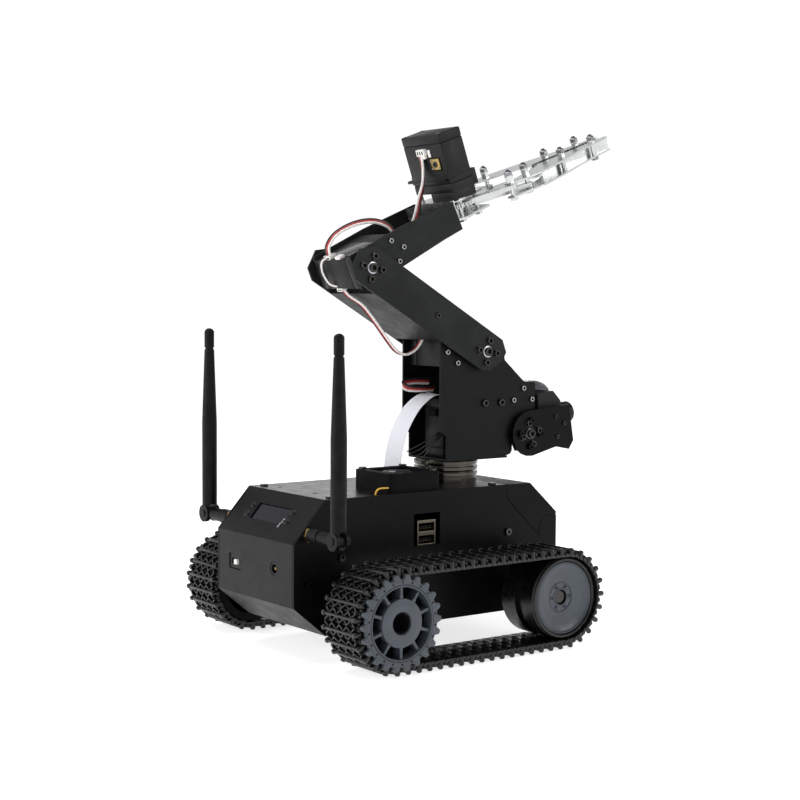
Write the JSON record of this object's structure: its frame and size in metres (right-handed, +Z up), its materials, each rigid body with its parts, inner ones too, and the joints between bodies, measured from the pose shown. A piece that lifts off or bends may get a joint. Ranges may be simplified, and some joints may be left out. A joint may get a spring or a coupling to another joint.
{
  "type": "tracked robot with arm",
  "caption": "Sheet-metal chassis on two driven tracks, with a slewing jointed arm, parallel gripper, tilting camera, folding aerials and cooling fan.",
  "frame": {"origin": "on the ground under the cleats, on the mid-plane, midway between the drive and front axles", "axes": "+X forward, towards the camera and gripper; +Y to the robot's left; +Z up"},
  "size_m": [0.2916, 0.2054, 0.3363],
  "materials": {
    "black_sheet": "matt powder coat",
    "display_glass": "dark gloss glass",
    "black_plastic": "fine moulded grain",
    "plug_steel": "tinned steel",
    "circuit_board": "solder mask",
    "bare_aluminium": "satin",
    "cell_wrap": "shrink wrap",
    "motor_steel": "turned",
    "brass": "plated",
    "ring_steel": "turned and polished",
    "dark_screws": "black oxide",
    "bright_screws": "zinc plated",
    "track_rubber": "matt",
    "wheel_plastic": "satin moulded",
    "aerial_rubber": "satin",
    "white_plastic": "satin",
    "lead_wire": "insulated wire",
    "ribbon_film": "satin film"
  },
  "bodies": {
    "chassis": {"chassis_tub": "black_sheet", "top_cover": "black_sheet", "rear_panel": "black_sheet", "front_cover": "black_sheet", "oled_display": "display_glass", "rear_connectors": "black_plastic", "usb_ports": "plug_steel", "main_board": "circuit_board", "heatsink": "bare_aluminium", "battery_cells": "cell_wrap", "battery_tray": "black_plastic", "gear_motors": "motor_steel", "idler_axles": "motor_steel", "antenna_sockets": "brass", "fan_frame": "black_plastic", "slew_base": "ring_steel", "chassis_screws": "dark_screws", "track_left": "track_rubber", "track_right": "track_rubber", "fan_lead": "lead_wire"},
    "power_switch": {"switch_lever": "white_plastic"},
    "fan": {"fan_rotor": "black_plastic"},
    "drive_wheel_left": {"sprocket_left": "wheel_plastic", "drive_shaft_left": "motor_steel"},
    "drive_wheel_right": {"sprocket_right": "wheel_plastic", "drive_shaft_right": "motor_steel"},
    "front_wheel_left": {"idler_left": "wheel_plastic", "idler_rim_left": "track_rubber"},
    "front_wheel_right": {"idler_right": "wheel_plastic", "idler_rim_right": "track_rubber"},
    "aerial_base_left": {"antenna_elbow_left": "black_plastic"},
    "aerial_base_right": {"antenna_elbow_right": "black_plastic"},
    "aerial_left": {"antenna_left": "aerial_rubber"},
    "aerial_right": {"antenna_right": "aerial_rubber"},
    "turret": {"slew_top": "ring_steel", "column": "black_sheet", "pan_servo": "black_plastic", "shoulder_servo": "black_plastic", "tilt_servo": "black_plastic", "column_screws": "bright_screws", "column_lead": "lead_wire", "ribbon_cable": "ribbon_film"},
    "upper_arm": {"upper_arm": "black_sheet", "upper_arm_horns": "black_plastic", "upper_arm_screws": "dark_screws", "arm_lead": "lead_wire"},
    "forearm": {"forearm": "black_sheet", "elbow_servo": "black_plastic", "gripper_base": "bare_aluminium", "gripper_servo": "black_plastic", "forearm_lead": "lead_wire", "forearm_screws": "bright_screws"},
    "crank_left": {"crank_left": "bare_aluminium"},
    "crank_right": {"crank_right": "bare_aluminium"},
    "follower_left": {"follower_left": "bare_aluminium"},
    "follower_right": {"follower_right": "bare_aluminium"},
    "finger_left": {"finger_left": "bare_aluminium"},
    "finger_right": {"finger_right": "bare_aluminium"},
    "camera_head": {"camera_bracket": "black_sheet", "camera": "black_plastic"}
  },
  "joints": [
    {"name": "power_switch_slide", "type": "slide", "parent": "chassis", "child": "power_switch", "axis": [0, 1, 0], "range_m": [0, 0.0042]},
    {"name": "fan_spin", "type": "hinge", "parent": "chassis", "child": "fan", "pos_m": [-0.0106, -0.021, 0.105], "axis": [0, 0, 1], "continuous": true},
    {"name": "drive_spin_left", "type": "hinge", "parent": "chassis", "child": "drive_wheel_left", "pos_m": [-0.066, 0.0816, 0.0322], "axis": [0, 1, 0], "continuous": true},
    {"name": "front_spin_left", "type": "hinge", "parent": "chassis", "child": "front_wheel_left", "pos_m": [0.066, 0.0816, 0.0322], "axis": [0, 1, 0], "continuous": true},
    {"name": "aerial_swivel_left", "type": "hinge", "parent": "chassis", "child": "aerial_base_left", "pos_m": [-0.093, 0.06, 0.0795], "axis": [0, 1, 0], "range_deg": [-90, 90]},
    {"name": "aerial_fold_left", "type": "hinge", "parent": "aerial_base_left", "child": "aerial_left", "pos_m": [-0.093, 0.0755, 0.0795], "axis": [-1, 0, 0], "range_deg": [0, 90]},
    {"name": "drive_spin_right", "type": "hinge", "parent": "chassis", "child": "drive_wheel_right", "pos_m": [-0.066, -0.0816, 0.0322], "axis": [0, 1, 0], "continuous": true},
    {"name": "front_spin_right", "type": "hinge", "parent": "chassis", "child": "front_wheel_right", "pos_m": [0.066, -0.0816, 0.0322], "axis": [0, 1, 0], "continuous": true},
    {"name": "aerial_swivel_right", "type": "hinge", "parent": "chassis", "child": "aerial_base_right", "pos_m": [-0.093, -0.06, 0.0795], "axis": [0, 1, 0], "range_deg": [-90, 90]},
    {"name": "aerial_fold_right", "type": "hinge", "parent": "aerial_base_right", "child": "aerial_right", "pos_m": [-0.093, -0.0755, 0.0795], "axis": [1, 0, 0], "range_deg": [0, 90]},
    {"name": "pan", "type": "hinge", "parent": "chassis", "child": "turret", "pos_m": [0.045, 0, 0.107], "axis": [0, 0, 1], "range_deg": [-90, 90], "deforming": ["ribbon_cable"]},
    {"name": "shoulder", "type": "hinge", "parent": "turret", "child": "upper_arm", "pos_m": [0.0596, 0, 0.1864], "axis": [0, 1, 0], "range_deg": [-30, 60], "deforming": ["arm_lead"]},
    {"name": "elbow", "type": "hinge", "parent": "upper_arm", "child": "forearm", "pos_m": [-0.03393, 0, 0.2404], "axis": [0, 1, 0], "range_deg": [-90, 20], "deforming": ["arm_lead"]},
    {"name": "grip", "type": "hinge", "parent": "forearm", "child": "crank_left", "pos_m": [0.04735, 0.01, 0.28169], "axis": [-0.342, 0, 0.9397], "range_deg": [-4.4, 45]},
    {"name": "grip_right", "type": "hinge", "parent": "forearm", "child": "crank_right", "pos_m": [0.04735, -0.01, 0.28169], "axis": [-0.342, 0, 0.9397], "range_deg": [-45, 4.4]},
    {"name": "follow_left", "type": "hinge", "parent": "forearm", "child": "follower_left", "pos_m": [0.06332, 0.0068, 0.2875], "axis": [-0.342, 0, 0.9397], "range_deg": [-4.4, 45]},
    {"name": "follow_right", "type": "hinge", "parent": "forearm", "child": "follower_right", "pos_m": [0.06332, -0.0068, 0.2875], "axis": [-0.342, 0, 0.9397], "range_deg": [-45, 4.4]},
    {"name": "finger_left_pivot", "type": "hinge", "parent": "crank_left", "child": "finger_left", "pos_m": [0.08046, 0.02423, 0.29374], "axis": [-0.342, 0, 0.9397], "range_deg": [-45, 4.4]},
    {"name": "finger_right_pivot", "type": "hinge", "parent": "crank_right", "child": "finger_right", "pos_m": [0.08046, -0.02423, 0.29374], "axis": [-0.342, 0, 0.9397], "range_deg": [-4.4, 45]},
    {"name": "camera_tilt", "type": "hinge", "parent": "turret", "child": "camera_head", "pos_m": [0.098, 0, 0.1302], "axis": [0, 1, 0], "range_deg": [-10, 45], "deforming": ["ribbon_cable"]}
  ],
  "couplings": [
    {"joint": "front_spin_left", "follows": "drive_spin_left", "ratio": 1},
    {"joint": "front_spin_right", "follows": "drive_spin_right", "ratio": 1},
    {"joint": "grip_right", "follows": "grip", "ratio": -1},
    {"joint": "follow_left", "follows": "grip", "ratio": 1},
    {"joint": "follow_right", "follows": "grip", "ratio": -1},
    {"joint": "finger_left_pivot", "follows": "grip", "ratio": -1},
    {"joint": "finger_right_pivot", "follows": "grip", "ratio": 1}
  ]
}
